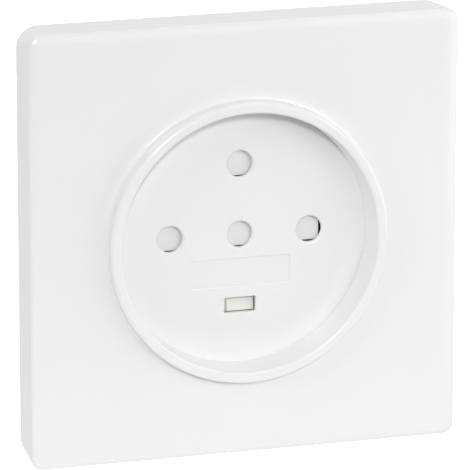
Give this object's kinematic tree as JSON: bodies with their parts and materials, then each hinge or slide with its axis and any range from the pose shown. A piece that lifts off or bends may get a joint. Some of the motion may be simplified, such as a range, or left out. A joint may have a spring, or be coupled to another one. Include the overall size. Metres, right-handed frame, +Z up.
{
  "type": "three-phase socket",
  "caption": "Flush wall socket for three phases, neutral and earth: square white plate, raised round collar, deep well, round pin holes, flat earth slot and a sliding shutter.",
  "frame": {"origin": "middle of the whole socket's box, on the plate's centre line; the wall's surface lies at Y = -0.007", "axes": "+Y into the wall, +Z up the plate, +X to the right as seen from the front; the front looks along -Y"},
  "size_m": [0.08, 0.038, 0.08],
  "materials": {
    "white_moulding": "smooth pure white, satin to glossy",
    "ivory_moulding": "pale ivory, satin",
    "dark_moulding": "dark grey, satin",
    "brass": "bright stamped brass",
    "zinced_steel": "zinc plated sheet and screws",
    "spring_steel": "plain spring steel"
  },
  "bodies": {
    "housing": {"front_plate": "white_moulding", "well_cover": "white_moulding", "contact_retainer": "dark_moulding", "support_frame": "zinced_steel", "contact_base": "dark_moulding", "shutter_spring": "spring_steel", "contact_phase_1": "brass", "contact_phase_2": "brass", "contact_phase_3": "brass", "contact_neutral": "brass", "contact_earth": "brass", "grip_ring_phase_1": "spring_steel", "grip_ring_phase_2": "spring_steel", "grip_ring_phase_3": "spring_steel", "grip_ring_neutral": "spring_steel", "grip_ring_earth": "spring_steel", "clamp_phase_1": "brass", "clamp_phase_2": "brass", "clamp_phase_3": "brass", "clamp_neutral": "brass", "clamp_earth": "brass", "clamp_screw_phase_1": "zinced_steel", "clamp_screw_phase_2": "zinced_steel", "clamp_screw_phase_3": "zinced_steel", "clamp_screw_neutral": "zinced_steel", "clamp_screw_earth": "zinced_steel", "assembly_screw_1": "zinced_steel", "assembly_screw_2": "zinced_steel"},
    "shutter": {"shutter_slide": "white_moulding", "earth_shutter": "ivory_moulding"}
  },
  "joints": [
    {"name": "shutter_travel", "type": "slide", "parent": "housing", "child": "shutter", "axis": [-1, 0, 0], "range_m": [0, 0.0064], "stiffness_N_per_m": 120, "springref_m": -0.002, "deforming": ["shutter_spring"]}
  ]
}
